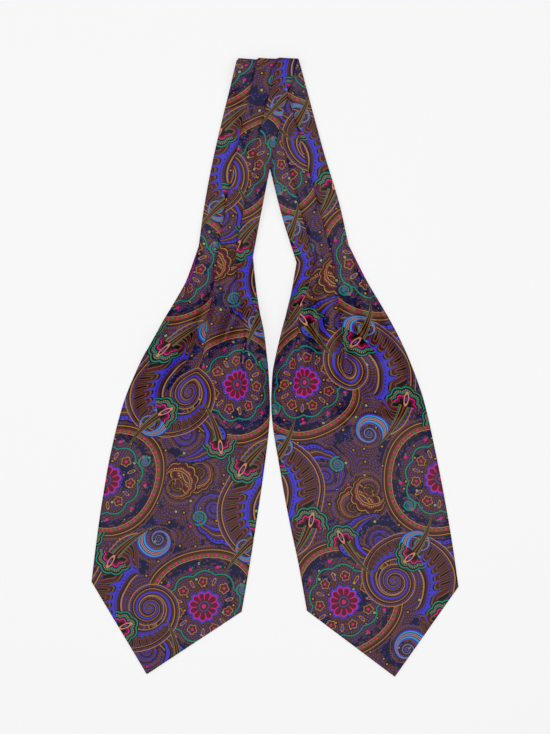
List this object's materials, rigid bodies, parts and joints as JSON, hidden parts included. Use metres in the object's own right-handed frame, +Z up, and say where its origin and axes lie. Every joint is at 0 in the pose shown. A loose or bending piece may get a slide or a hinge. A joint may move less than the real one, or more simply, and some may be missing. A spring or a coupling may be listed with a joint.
{
  "type": "silk cravat",
  "caption": "Long silk neck cloth with a knife-pleated neckband and two wide pointed ends, laid flat and folded over once at the neck.",
  "frame": {"origin": "middle of the cravat's outline on the surface that it lies on", "axes": "+Z up from the surface, +Y towards the fold at the top of the neckband, +X towards the right-hand end as it lies"},
  "size_m": [0.3486, 0.5868, 0.0072],
  "materials": {
    "printed_silk": "printed silk twill with a soft sheen, paisley in violet-blue, teal, magenta and ochre on chestnut brown"
  },
  "bodies": {
    "root": {"neck_fold": "printed_silk", "left_neckband": "printed_silk", "right_neckband": "printed_silk", "left_blade": "printed_silk", "right_blade": "printed_silk"}
  },
  "joints": []
}
